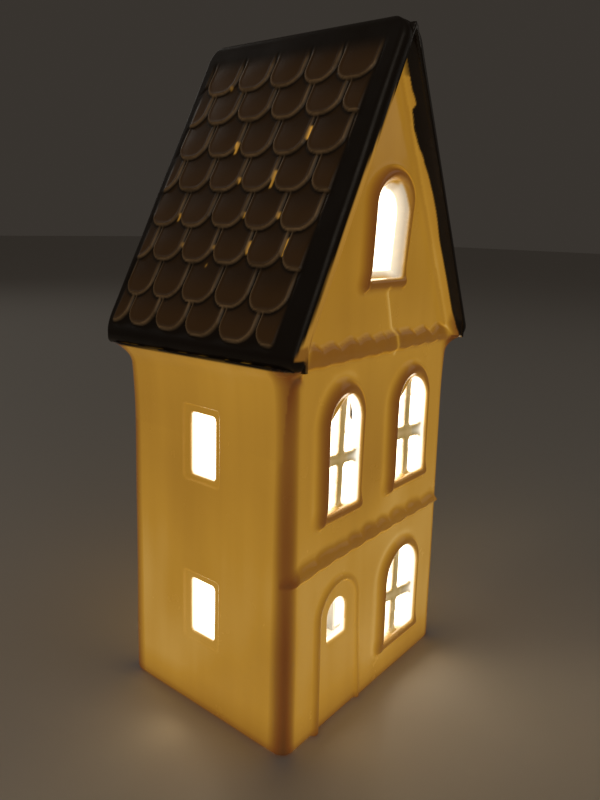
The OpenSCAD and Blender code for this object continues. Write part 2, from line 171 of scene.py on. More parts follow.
# openings: left, right, lean, sill, spring line, crown, taper
HOLES = {
    "upper_left": (-33.0, -13.6, 0.02, 87.4, 118.0, 128.6, 0.1),
    "upper_right": (10.4, 33.6, 0.0, 87.4, 118.0, 127.6, 0.1),
    "lower_right": (8.4, 33.1, 0.0, 16.9, 45.0, 55.7, 0.1),
    "gable": (-12.6, 9.2, 0.11, 166.9, 188.0, 200.0, 0.95),
}
# glazing bars: the upright's centre at the cross, lean, half width and widening,
# then the cross bar's height, tilt and half height
BARS = {
    "upper_left": (-22.1, 0.05, 1.45, 0.012, 104.9, -0.07, 1.9),
    "upper_right": (23.0, 0.0, 1.65, 0.0, 104.9, -0.09, 2.4),
    "lower_right": (19.9, 0.02, 1.75, 0.0, 34.2, -0.16, 2.1),
}
# the panes' top left corners are cut off along a slant through this point
SLANTS = {"upper_left": (-26.6, 122.6), "upper_right": (17.2, 122.2), "lower_right": (13.2, 51.0)}
# door: left, right, spring line, crown, and how much further left its right jamb ends up below
DOOR = (-35.2, -10.4, 46.9, 59.0)
DOOR_LEAN = 3.2
# its light: middle, half width, sill, spring line, crown
DOOR_LIGHT = (-21.9, 6.1, 33.9, 44.2, 50.7)
# a foot line below the ground, for what runs down to it
BELOW = -5.0
SILL_R = 1.75


def arch_line(x, z, c, half, foot, spring, crown):
    """Distance from an arch's line, which stands open on its foot."""
    k = half / (crown - spring)
    bow = np.abs(np.hypot(x - c, np.maximum(z - spring, 0) * k) - half)
    return np.hypot(bow, np.maximum(foot - z, 0))


def arch_area(x, z, c, half, foot, spring, crown):
    """Distance from an arched area: negative in it."""
    k = half / (crown - spring)
    bow = np.hypot(x - c, np.maximum(z - spring, 0) * k) - half
    return cap(bow, foot - z, 1.2)


def roll(x, z, face, left, right, lean_left, lean_right, foot, spring, crown, thick_left, thick_right):
    """A half round moulding round an opening, with its sill."""
    up = z - foot
    a, b = left + lean_left * up, right + lean_right * up
    c, half = (a + b) / 2, (b - a) / 2
    spread = 1.2 * step(-up, -6, 0) * np.sign(x - c)
    line = arch_line(x - spread, z, c, half, foot, spring, crown)
    radius = thick_left + (thick_right - thick_left) * step((x - c) / half, -0.5, 1.0)
    proud = (face + 0.1) * 0.95
    sill = np.hypot(np.maximum(np.abs(x - c) - half - 0.6, 0), z - foot)
    return weld(np.hypot(line, proud) - radius, np.hypot(sill, proud) - SILL_R, 0.8)


def beyond_slant(name, x, z):
    """Distance past the slant that cuts off a pane's top left corner."""
    px, pz = SLANTS[name]
    return (z - pz) * 0.76 - (x - px) * 0.65


def whole_opening(name):
    """A window's opening at its foot: middle, half width, sill, spring line, crown."""
    left, right, _, foot, spring, crown, _ = HOLES[name]
    return (left + right) / 2, (right - left) / 2, foot, spring, crown


def bars_of(name, x, z):
    """Distance outside a window's glazing bars, negative clear of them."""
    bx, tip, wide, widen, cross, tilt, tall = BARS[name]
    middle = bx + tip * (z - cross)
    upright = wide + widen * (z - cross) - np.abs(x - middle)
    return cap(upright, tall - np.abs(z - cross - tilt * (x - bx)), 1.6)


def hole(name, x, z, depth):
    """Distance from a window's opening at this depth behind the wall's face."""
    left, right, tip, foot, spring, crown, taper = HOLES[name]
    c, half = (left + right) / 2 + tip * (z - foot), (right - left) / 2
    area = arch_area(x, z, c, half, foot, spring, crown)
    if name in SLANTS:
        area = cap(area, beyond_slant(name, x, z), 1.0)
    area = area + taper * depth
    if name in BARS:
        # the bars stand a little behind the face
        area = area + (cap(area, bars_of(name, x, z), 1.8) - area) * step(depth, 0.3, 1.0)
    return area


# moulded bands: the underside's height, its drop at the left end, height, bulge, and the lobes' middles
COURSES = (
    (140.2, 0.0, 7.0, 1.9, (-43.2, -33.0, -21.6, -12.2, -3.2, 5.6, 14.8, 27.0, 41.0)),
    (68.3, 2.1, 5.2, 1.6, (-42.6, -31.8, -23.2, -14.6, -4.8, 5.0, 15.6, 28.0, 41.0)),
)


def course_edges(x, z, low, drop, tall, lobes):
    """Distance below a moulded band's underside and above its scalloped top."""
    foot = low - drop * np.exp(-(x + 50) / 13) + 0.22 * np.sin(x * 0.62 + low)
    top = np.full(np.broadcast(x, z).shape, 1e3, F32)
    for i, c in enumerate(lobes):
        rise = 0.35 * math.sin(2.3 * i + low) - 0.9 * step(c, 15, 45)
        top = np.minimum(top, z - foot - tall - rise + 0.045 * (x - c) ** 2)
    return foot - z, top


def course(x, y, z, low, drop, tall, bulge, lobes):
    """A moulded band with a scalloped top and a wavy underside."""
    below, top = course_edges(x, z, low, drop, tall, lobes)
    ends = np.abs(x) - HALF_W + 1.2
    band = cap(cap(top, below, 1.0), ends, 1.5)
    face = y + HALF_D + lean(z)
    out = bulge * (1 - 0.35 * step(-below, 2, tall + 1)) + 0.12 * np.sin(x * 0.66 + 2.1)
    return cap(band, -face - out, 1.6)


def face_line(x, z, x0, z0, x1, z1):
    """Distance from a straight line on the wall's face."""
    t = np.clip(((x - x0) * (x1 - x0) + (z - z0) * (z1 - z0)) / ((x1 - x0) ** 2 + (z1 - z0) ** 2), 0, 1)
    return np.hypot(x - x0 - t * (x1 - x0), z - z0 - t * (z1 - z0))


# the raised seam that runs down from the gable window's sill
SEAM = ((0.6, 163.3), (3.4, 154.4), (5.0, 149.0), (7.4, 145.8), (8.3, 139.0))


def seam(x, z):
    """Distance from the seam."""
    d = face_line(x, z, *SEAM[0], *SEAM[1])
    for a, b in zip(SEAM[1:], SEAM[2:]):
        d = np.minimum(d, face_line(x, z, *a, *b))
    return d


def front(d, x, y, z):
    """Adds the front wall's reliefs to d and cuts its openings."""
    face = y + HALF_D + lean(z)
    for c in COURSES:
        d = weld(d, course(x, y, z, *c), 1.8)
    d = weld(d, np.hypot(seam(x, z), face - 0.3) - 0.6, 0.6)
    for r in ROLLS.values():
        d = weld(d, roll(x, z, face, *r), 2.4)
    left, right, spring, crown = DOOR
    c, half = (left + right) / 2, (right - left) / 2
    out = x - DOOR_LEAN * step(48 - z, 0, 55) * (x > c)
    recess = arch_area(out, z, c, half - 0.5, BELOW, spring, crown - 0.6)
    d = cap(d, -cap(recess, face - 0.7, 0.6), 0.4)
    line = arch_line(out, z, c, half, BELOW, spring, crown)
    thick = 1.7 - 0.75 * step((x - c) / half, -0.5, 1.0)
    d = weld(d, np.hypot(line, face - 0.4) - thick, 0.9)
    depth = np.maximum(face, 0)
    light = arch_area(x, z, *DOOR_LIGHT) + 0.2 * depth
    d = cap(d, -np.maximum(light, y - FRONT_WALL_Y), 0.9)
    for name in HOLES:
        d = cap(d, -np.maximum(hole(name, x, z, depth), y - FRONT_WALL_Y), 0.9)
    return cap(d, -z, 1.2)


# side windows: the frame's middle height, then the opening's middle and half height
SIDE_WINDOWS = ((107.6, 107.1, 11.8), (42.7, 42.7, 11.3))
# their middle along the wall, how far their frames are sunk, and both sizes the windows share:
# the frame's half width and half height, and the opening's half width
SIDE_Y, SIDE_SUNK = 0.78, 0.9
FRAME_W, FRAME_H, SIDE_HALF = 9.0, 14.1, 6.3


def side(d, x, y, z):
    """Sinks the side windows' frames and cuts their openings."""
    face = np.abs(x) - HALF_W - lean(z)
    for m, hm, half in SIDE_WINDOWS:
        sunk = cap(np.abs(y - SIDE_Y) - FRAME_W, np.abs(z - m) - FRAME_H, 1.2)
        d = cap(d, -cap(sunk, -SIDE_SUNK - face, 0.6), 0.8)
        gap = cap(np.abs(y - SIDE_Y) - SIDE_HALF, np.abs(z - hm) - half, 1.6)
        inward = np.maximum(-SIDE_SUNK - face, 0)
        d = cap(d, -np.maximum(gap + 0.15 * inward, 38 - np.abs(x)), 0.7)
    return d


def back(d, x, y, z):
    """Cuts the notch for the cord at the foot of the back wall."""
    notch = arch_area(x, z, 0.0, 6.5, BELOW, 11.0, 17.5)
    return cap(d, -np.maximum(notch, BACK_WALL_Y - y), 0.8)


def walls(x, y, z, zone):
    """Distance from the walls in one of the zones: negative in them."""
    d = shell(x, y, z)
    if zone == "front":
        d = front(d, x, y, z)
    elif zone == "middle":
        d = side(d, x, y, z)
    else:
        d = back(d, x, y, z)
    return cap(d, -cavity(x, y, z), 0.9)


# each zone's name and the y it runs from and to
ZONES = (("front", -99, -31.5), ("middle", -31.5, 30.5), ("back", 30.5, 99))


def walls_grid(xs, ys, zs):
    """walls() over a whole grid."""
    out = np.empty((len(xs), len(ys), len(zs)), F32)
    for zone, lo, hi in ZONES:
        pick = np.flatnonzero((ys >= lo) & (ys < hi))
        out[:, pick] = walls(xs[:, None, None], ys[None, pick, None], zs[None, None, :], zone)
    return out


def walls_at(p):
    """walls() at a list of points."""
    out = np.empty(len(p), F32)
    for zone, lo, hi in ZONES:
        pick = (p[:, 1] >= lo) & (p[:, 1] < hi)
        q = p[pick]
        out[pick] = walls(q[:, 0], q[:, 1], q[:, 2], zone)
    return out


# ---------------------------------------------------------------- meshing
def surface_net(f, xs, ys, zs):
    """A closed quad mesh of f = 0: one vertex in each cell that the surface crosses."""
    inside = f < 0
    shape = tuple(n - 1 for n in f.shape)
    count = np.zeros(shape, np.int8)
    corners = [(i, j, k) for i in (0, 1) for j in (0, 1) for k in (0, 1)]
    for i, j, k in corners:
        count += inside[i:i + shape[0], j:j + shape[1], k:k + shape[2]]
    active = (count > 0) & (count < 8)
    cells = np.argwhere(active)
    index = np.full(shape, -1, np.int32)
    index[active] = np.arange(len(cells))
    axes = (xs, ys, zs)
    total = np.zeros((len(cells), 3), F32)
    hits = np.zeros(len(cells), F32)
    for a in corners:
        for axis in range(3):
            if a[axis]:
                continue
            b = tuple(v + (n == axis) for n, v in enumerate(a))
            ia, ib = cells + a, cells + b
            fa, fb = f[tuple(ia.T)], f[tuple(ib.T)]
            hit = (fa < 0) != (fb < 0)
            t = np.where(hit, fa / np.where(hit, fa - fb, 1), 0)
            for n in range(3):
                pa, pb = axes[n][ia[:, n]], axes[n][ib[:, n]]
                total[:, n] += np.where(hit, pa + t * (pb - pa), 0)
            hits += hit
    verts = total / hits[:, None]
    quads = []
    for axis in range(3):
        lo = [slice(1, -1)] * 3
        hi = [slice(1, -1)] * 3
        lo[axis], hi[axis] = slice(0, -1), slice(1, None)
        a, b = inside[tuple(lo)], inside[tuple(hi)]
        u, v = [n for n in range(3) if n != axis]
        where = np.argwhere(a != b)
        base = where.copy()
        base[:, u] += 1
        base[:, v] += 1
        ring = []
        for du, dv in ((-1, -1), (0, -1), (0, 0), (-1, 0)):
            c = base.copy()
            c[:, u] += du
            c[:, v] += dv
            ring.append(index[tuple(c.T)])
        q = np.stack(ring, 1)
        flip = a[tuple(where.T)] == (axis == 1)
        q[flip] = q[flip][:, ::-1]
        quads.append(q)
    return verts, np.concatenate(quads)


def settle(p, rounds=2, h=0.12, furthest=0.35):
    """Moves points onto the walls' surface, by furthest at most in each round; h is the probe's length."""
    for _ in range(rounds):
        d = walls_at(p)
        g = [(walls_at(p + h * e) - walls_at(p - h * e)) / (2 * h) for e in np.eye(3, dtype=F32)]
        g = np.stack(g, 1)
        move = -d[:, None] * g / np.maximum((g * g).sum(1), 0.3)[:, None]
        size = np.linalg.norm(move, axis=1)[:, None]
        p = p + move * np.minimum(1, furthest / np.maximum(size, 1e-6))
    return p.astype(F32)


def new_mesh(name, verts, faces):
    """A smooth shaded object from points in millimetres and an array of equal faces or a list of any."""
    me = bpy.data.meshes.new(name)
    ob = bpy.data.objects.new(name, me)
    bpy.context.scene.collection.objects.link(ob)
    if isinstance(faces, np.ndarray):
        me.vertices.add(len(verts))
        me.vertices.foreach_set("co", (verts * MM).astype(F32).ravel())
        n = faces.shape[1]
        me.loops.add(faces.size)
        me.polygons.add(len(faces))
        me.polygons.foreach_set("loop_start", np.arange(0, faces.size, n, dtype=np.int32))
        me.loops.foreach_set("vertex_index", faces.astype(np.int32).ravel())
        me.update(calc_edges=True)
    else:
        me.from_pydata([tuple(v) for v in verts * MM], [], faces)
    me.validate()
    me.polygons.foreach_set("use_smooth", np.ones(len(me.polygons), bool))
    return ob


def points_of(ob):
    """The mesh's points, in millimetres."""
    co = np.empty(len(ob.data.vertices) * 3, F32)
    ob.data.vertices.foreach_get("co", co)
    return co.reshape(-1, 3) / MM


def thin_out(ob, ratio):
    """Merges faces where the surface is flat."""
    m = ob.modifiers.new("thin", "DECIMATE")
    m.ratio = ratio
    dg = bpy.context.evaluated_depsgraph_get()
    me = bpy.data.meshes.new_from_object(ob.evaluated_get(dg))
    ob.modifiers.clear()
    old, ob.data = ob.data, me
    bpy.data.meshes.remove(old)
    me.name = ob.name


def attribute(ob, name, values):
    """Stores one value a point, for the material."""
    a = ob.data.attributes.new(name, "FLOAT", "POINT")
    a.data.foreach_set("value", np.asarray(values, F32))


# ---------------------------------------------------------------- shingles
# each row: the distance of its lower edge up the slope, then the y of the notches between its shingles
ROWS = (
    (6.8, (36.6, 21.6, 6.1, -9.9, -26.1)),
    (17.9, (43.6, 28.8, 13.4, -2.9, -18.6, -35.4)),
    (32.5, (36.3, 20.7, 5.0, -10.9, -26.4)),
    (46.2, (43.6, 27.9, 12.0, -4.0, -19.9, -35.8)),
    (60.0, (36.1, 19.7, 3.7, -11.6, -27.4)),
    (73.7, (42.0, 26.6, 10.3, -5.0, -20.1, -36.4)),
    (87.8, (33.6, 17.9, 1.7, -13.5, -29.1)),
    (100.6, (39.4, 23.3, 7.5, -8.0, -22.1, -38.5)),
)
# thin spots where light comes through: y, from, to, strength
LEAKS = (
    (11.2, 75.2, 79.5, 1.0), (-20.0, 79.5, 84.3, 1.0), (4.2, 63.5, 65.5, 0.6), (-11.5, 61.5, 68.0, 0.9),
    (28.0, 48.5, 51.5, 0.7), (-4.0, 50.5, 52.5, 0.55), (-19.4, 50.5, 52.5, 0.55), (20.8, 38.5, 40.0, 0.4),
    (5.0, 38.5, 39.8, 0.4), (-11.0, 37.5, 42.0, 0.9), (-26.7, 37.5, 43.5, 0.9), (25.0, 102.0, 103.5, 0.3),
    (5.3, 31.5, 32.5, 0.3),
)
# the field of shingles lies a little below the slope's smooth borders, between these distances up it
FIELD_LOW, FIELD_HIGH, FIELD_SUNK = 6.0, 117.0, 0.6
# a row's outermost shingles reach this far past its last notches; the groove between two is twice GROOVE
SHINGLE_W, GROOVE = 15.6, 0.42
MAP_STEP = 0.25
map_s = np.arange(-14, SLOPE + 4, MAP_STEP)
map_y = np.arange(-48, 48.01, MAP_STEP)


def shingle_maps():
    """Height, rim, face and leak of the shingle field over (distance up the slope, y)."""
    s, y = np.meshgrid(map_s, map_y, indexing="ij")
    rng = np.random.default_rng(7)
    sides = np.maximum(-35.6 - 0.025 * s - y, y - 44.2 + 0.035 * s)
    field = cap(np.maximum(FIELD_LOW - s, s - FIELD_HIGH), sides, 3)
    ground = -FIELD_SUNK * step(-field, -1.6, 2.4)
    height = ground.copy()
    rim, face = np.zeros_like(s), np.zeros_like(s)
    for low, notches in ROWS:
        edges = (notches[0] + SHINGLE_W,) + notches + (notches[-1] - SHINGLE_W,)
        for a, b in zip(edges, edges[1:]):
            c, half = (a + b) / 2, (a - b) / 2 - GROOVE
            base = low + rng.uniform(-0.35, 0.35)
            # across and up the shingle, and the distance outside its rounded outline
            u = y - c + 0.02 * (s - base)
            v = s - base - 0.015 * u * u
            e = cap(np.abs(u) - half, -v, 5.5)
            body = 0.62 - 0.075 * v + 0.42 * (1 - (u / half) ** 2) * step(v, -2, 9)
            edge = 0.26 * np.exp(-((e + 0.75) / 0.45) ** 2)
            # the rim dims up the shingle: painted shade where the row above covers it
            row_above_shade = 1 - 0.75 * step(v, 9, 15)
            cover = step(-e, -0.1, 0.4)
            shape = (body + edge) * cover + ground * (1 - cover)
            on = (shape > height) & (v < 20) & (e < 0.3)
            height = np.where(on, shape, height)
            rim = np.where(on, np.exp(-((e + 0.5) / 0.32) ** 2) * row_above_shade, rim)
            # a face's glow dims up the shingle, painted shade under the row above; just outside each
            # shingle's outline the glow already there is taken away, a painted shadow in the grooves and
            # below its edge
            own_face = step(-e, 0.2, 1.2) * (1 - 0.55 * step(v, 3, 14))
            face = np.where(on, own_face, face * step(e, 0.2, 1.7))
    keep = step(-field, -0.2, 1.0)
    height = np.where(height > 0, height * keep, height)
    top = step(FIELD_HIGH - s, 0, 7)
    leak = np.zeros_like(s)
    for c, lo, hi, power in LEAKS:
        along = step(s, lo - 0.6, lo + 0.5) * step(-s, -hi - 0.6, -hi + 0.5)
        leak = np.maximum(leak, power * (np.exp(-((y - c) / 0.34) ** 2) * along))
    return height * top, rim * keep * top, face * keep * top, leak


shingle_height, shingle_rim, shingle_face, shingle_leak = shingle_maps()


def read_map(m, s, y):
    """A map's value at (s, y), from the four nearest."""
    i = np.clip((s - map_s[0]) / MAP_STEP, 0, len(map_s) - 1.001)
    j = np.clip((y - map_y[0]) / MAP_STEP, 0, len(map_y) - 1.001)
    i0, j0 = i.astype(int), j.astype(int)
    a, b = i - i0, j - j0
    return ((m[i0, j0] * (1 - b) + m[i0, j0 + 1] * b) * (1 - a)
            + (m[i0 + 1, j0] * (1 - b) + m[i0 + 1, j0 + 1] * b) * a)


# ---------------------------------------------------------------- roof
# points of half the roof's end view: along the soffit, round the eave, up the slope, over the ridge
SOFFIT_N, NOSE_N, SLOPE_N, RIDGE_N = 4, 16, 221, 9
# the roof's length: points round each end's bend and between the bends, and the bends' radii
BEND_N, LENGTH_N, FRONT_BEND, BACK_BEND = 8, 174, 3.0, 1.5
# the ends' rounded corners in side view are taken up between the end and this y
SHIFT_Y = 25


def half_outline(low):
    """The roof's end view on +X, from the soffit's inner edge at height low to the ridge.

    Gives its points and its normals.
    """
    pts, nrm = [], []

    def bend(cx, cz, r, a0, a1, n, skip):
        for a in np.radians(np.linspace(a0, a1, n))[skip:]:
            pts.append((cx + r * math.cos(a), cz + r * math.sin(a)))
            nrm.append((math.cos(a), math.sin(a)))

    nose = EAVE_R / math.tan(PITCH / 2)
    cx = (APEX - low) * CS / SN - nose
    for x in np.linspace(HALF_W, cx, SOFFIT_N)[:-1]:
        pts.append((x, low))
        nrm.append((0, -1))
    bend(cx, low + EAVE_R, EAVE_R, -90, 90 - PITCH_DEG, NOSE_N, 0)
    x0, z0 = pts[-1]
    x1, z1 = RIDGE_R * SN, RIDGE_Z - RIDGE_R + RIDGE_R * CS
    for t in np.linspace(0, 1, SLOPE_N)[1:]:
        pts.append((x0 + (x1 - x0) * t, z0 + (z1 - z0) * t))
        nrm.append((SN, CS))
    bend(0, RIDGE_Z - RIDGE_R, RIDGE_R, 90 - PITCH_DEG, 90, RIDGE_N, 1)
    return np.array(pts), np.array(nrm)


def both_halves(a, flip):
    """A half's values, then the other half's: the same ones backwards, times flip."""
    return np.concatenate([a, a[-2::-1] * flip])


def rounding(q, r):
    """How far a corner of radius r stands back where its side is q in from the edge."""
    q = np.clip(q, 0, r)
    return r - np.sqrt(r * r - (r - q) ** 2)


def build_roof():
    """The roof as one closed mesh: a fine grid outside, a coarse one inside, and the ends between."""
    back_end, nor = half_outline(EAVE_Z)
    front_end, _ = half_outline(EAVE_Z + DROOP)
    back_end, front_end, nor = (both_halves(a, (-1, 1)) for a in (back_end, front_end, nor))
    turn = np.sin(np.radians(np.linspace(0, 90, BEND_N)))
    ys = np.concatenate([FRONT_END + FRONT_BEND * (1 - turn[:0:-1]),
                         np.linspace(FRONT_END + FRONT_BEND, BACK_END - BACK_BEND, LENGTH_N),
                         BACK_END - BACK_BEND * (1 - turn[1:])])
    inset = np.where(ys < 0, rounding(ys - FRONT_END, FRONT_BEND), rounding(BACK_END - ys, BACK_BEND))
    f = forward(ys)[None, :, None]
    out = back_end[:, None, :] * (1 - f) + front_end[:, None, :] * f
    m, n = out.shape[:2]
    # in side view the ends' corners are rounded and the back end leans in
    wide = ROOF_HALF_W - np.abs(out[:, 0, 0])
    deep = RIDGE_Z - out[:, 0, 1]
    back_shift = rounding(wide, 5.0) + rounding(deep, 6.0) + VERGE_LEAN * (out[:, 0, 1] - EAVE_Z)
    front_shift = rounding(deep, 7.0)
    near_back = np.clip((ys - SHIFT_Y) / (BACK_END - SHIFT_Y), 0, 1)
    near_front = np.clip((-SHIFT_Y - ys) / (-SHIFT_Y - FRONT_END), 0, 1)
    y2 = ys[None, :] - back_shift[:, None] * near_back + front_shift[:, None] * near_front
    # the shingles and a slow unevenness lift the slopes; the bends pull in all but the soffit
    s2 = SN * (out[..., 1] - START_Z) - CS * (np.abs(out[..., 0]) - START_X)
    lift = read_map(shingle_height, s2, y2)
    uneven = 0.2 * lumps(out[..., 0] * 1.3, y2, out[..., 1]) * step(s2, 3, 9) * step(SLOPE - s2, 3, 9)
    bends = np.where(np.arange(m) < SOFFIT_N, 0.0, 1.0)
    bends = np.minimum(bends, bends[::-1])
    shift = lift + uneven - inset[None, :] * bends[:, None]
    grid = np.empty((m, n, 3))
    grid[..., 0] = out[..., 0] + nor[:, 0][:, None] * shift
    grid[..., 1] = y2
    grid[..., 2] = out[..., 1] + nor[:, 1][:, None] * shift
    # the inside's end view: up beside the walls to a corner, then along under the slab, matched to
    # the outside point by point
    void_apex = APEX - ROOF_T / CS
    void_eave = void_apex - HALF_W * SN / CS
    foot = EAVE_Z + 0.8
    inner = np.empty((m, 2))
    half = (m + 1) // 2
    corner = int(np.argmin(np.abs(back_end[:half, 1] - void_eave - 6)))
    k = np.arange(half)
    inner[:half, 0] = np.where(k <= corner, HALF_W, HALF_W * (half - 1 - k) / (half - 1 - corner))
    inner[:half, 1] = np.where(k <= corner, foot + (void_eave - foot) * k / corner,
                               void_apex - inner[:half, 0] * SN / CS)
    inner[half:] = inner[half - 2::-1] * (-1, 1)
    # its lower part follows the eave's droop
    low = np.maximum(1 - k / corner, 0)
    low = np.concatenate([low, low[-2::-1]])
    edge = np.empty((m, 6, 3))
    edge[..., 0] = inner[:, 0][:, None]
    edge[:, 0, 1] = FRONT_END
    edge[:, 1:-1, 1] = (-39.6, -38.6, 38.6, 39.6)
    edge[:, -1, 1] = BACK_END - VERGE_LEAN * (inner[:, 1] - EAVE_Z)
    edge[..., 2] = inner[:, 1][:, None] + low[:, None] * (eave(edge[..., 1]) - EAVE_Z)
    verts = np.concatenate([grid.reshape(-1, 3), edge.reshape(-1, 3)])
    g = np.arange(m * n).reshape(m, n)
    e = m * n + np.arange(m * 6).reshape(m, 6)
    faces = [np.stack([g[:-1, :-1], g[:-1, 1:], g[1:, 1:], g[1:, :-1]], -1).reshape(-1, 4),
             np.stack([e[:-1, :-1], e[1:, :-1], e[1:, 1:], e[:-1, 1:]], -1).reshape(-1, 4),
             np.stack([g[:-1, 0], g[1:, 0], e[1:, 0], e[:-1, 0]], -1),
             np.stack([g[1:, -1], g[:-1, -1], e[:-1, -1], e[1:, -1]], -1)]
    loops = [list(map(int, q)) for q in np.concatenate(faces)]
    # the soffits' inner edges are closed by one long face on each side
    loops.append([int(v) for v in g[0, ::-1]] + [int(v) for v in e[0]])
    loops.append([int(v) for v in g[-1]] + [int(v) for v in e[-1, ::-1]])
    return new_mesh("shingled_roof", verts, loops)


# how far the dark glaze runs down the left front lip, by height
LEFT_GLAZE = ((143, 150, 156, 163, 170, 178, 188, 197, 207, 216, 225, 230, 238),
              (0.2, 1.1, 1.55, 1.77, 1.77, 1.98, 1.93, 2.08, 2.7, 3.3, 4.2, 5.0, 9.0))
# and where it ends in the hood on the right, by height
RIGHT_GLAZE = ((147, 152, 165, 173, 180, 187, 191, 196, 201, 205,
                208, 211, 214, 217.5, 220.6, 223.5, 225, 227, 230),
               (-1.8, -1.05, -1.0, -0.8, -0.6, -1.2, -1.33, -1.2, -0.7, 0,
                0.6, 1.4, 2.4, 2.8, 2.5, 2.2, -0.3, -0.26, 0.4))
# above this height the glaze covers the whole of the front end
ALL_GLAZED_Z = 233.0


def painted(x, y, z):
    """Where the dark roof glaze lies, 1, and where the porcelain is bare, 0."""
    w = under(x, z)
    beyond = ahead(y, z)
    left = np.maximum(step(-beyond, 1.0, 1.6) * step(4.4 - w, 0, 0.8),
                      step(np.interp(z, *LEFT_GLAZE) - w, -0.3, 0.3))
    hood = w - 4 - (np.abs(y) - HALF_D)
    right = np.maximum(step(np.interp(z, *RIGHT_GLAZE) - hood, -0.3, 0.3), step(3.0 - w, 0, 0.6))
    out = np.where((x > 0) & (y < 0), right, left)
    out = np.maximum(out, step(z, ALL_GLAZED_Z, ALL_GLAZED_Z + 0.8) * (y < -HALF_D + 3) * step(9 - w, 0, 4))
    return out * step(z - eave(y), -0.2, 0.6)


# ---------------------------------------------------------------- pieces
# the walls' grid spacing, and the share of faces kept where the surface is flat
GRID_STEP, KEEP_FACES = 0.64, 0.36


def build_walls():
    """The porcelain body, meshed from its distance field."""
    xs = np.arange(-58, 58.01, GRID_STEP).astype(F32)
    ys = np.arange(-47.4, 48.5, GRID_STEP).astype(F32)
    zs = np.arange(-1.1, 249, GRID_STEP).astype(F32)
    verts, faces = surface_net(walls_grid(xs, ys, zs), xs, ys, zs)
    verts = settle(verts)
    ob = new_mesh("porcelain_walls", verts, faces)
    thin_out(ob, KEEP_FACES)
    return ob


walls_ob = build_walls()
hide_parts("house_walls")
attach(walls_ob, "house")

roof_ob = build_roof()
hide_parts("roof")
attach(roof_ob, "house")


# the door's part of the front wall: its middle, half width and top
DOOR_PART = (-21.5, 16.5, 59.5)
# how far outside an opening its roll's outer foot runs: sideways, and at the crown
ROLL_OUT, ROLL_UP = 1.6, 2.4


